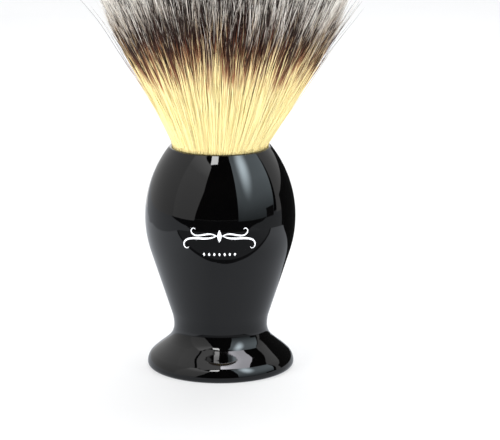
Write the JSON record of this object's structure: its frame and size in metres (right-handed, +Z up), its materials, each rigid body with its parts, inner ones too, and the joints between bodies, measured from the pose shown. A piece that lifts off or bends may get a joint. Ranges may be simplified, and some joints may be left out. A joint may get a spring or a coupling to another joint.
{
  "type": "shaving brush",
  "caption": "Shaving brush: a turned glossy black resin handle with a round foot, narrow waist and pear-shaped barrel, holding a flared knot of cream hair with dark banded tips.",
  "frame": {"origin": "centre of the foot's flat underside, which is the bottom centre of the bounding box", "axes": "+Z up along the brush's axis, from the foot to the crown of the hair; the brush is round about Z, and +Y points to the back, so that the hair bends towards +X and -X"},
  "size_m": [0.0578, 0.0578, 0.108],
  "materials": {
    "black_resin": "gloss",
    "ballast_steel": "satin",
    "epoxy": "gloss",
    "base_vinyl": "matte",
    "cup_plastic": "satin",
    "thread": "matte",
    "silver_ink": "satin",
    "hair": "satin"
  },
  "bodies": {
    "handle": {"handle": "black_resin", "ballast_slug": "ballast_steel", "ballast_adhesive": "epoxy", "base_plug": "black_resin", "base_disc": "base_vinyl", "socket_adhesive": "epoxy", "knot_cup": "cup_plastic", "glue_plug": "epoxy", "binding_thread": "thread", "bristle_root": "hair"},
    "bristle_loft": {"bristle_loft": "hair"}
  },
  "joints": [
    {"name": "bristle_bend", "type": "hinge", "parent": "handle", "child": "bristle_loft", "pos_m": [0, 0, 0.064], "axis": [0, 1, 0], "range_deg": [-30, 30], "stiffness_Nm_per_rad": 0.15}
  ]
}
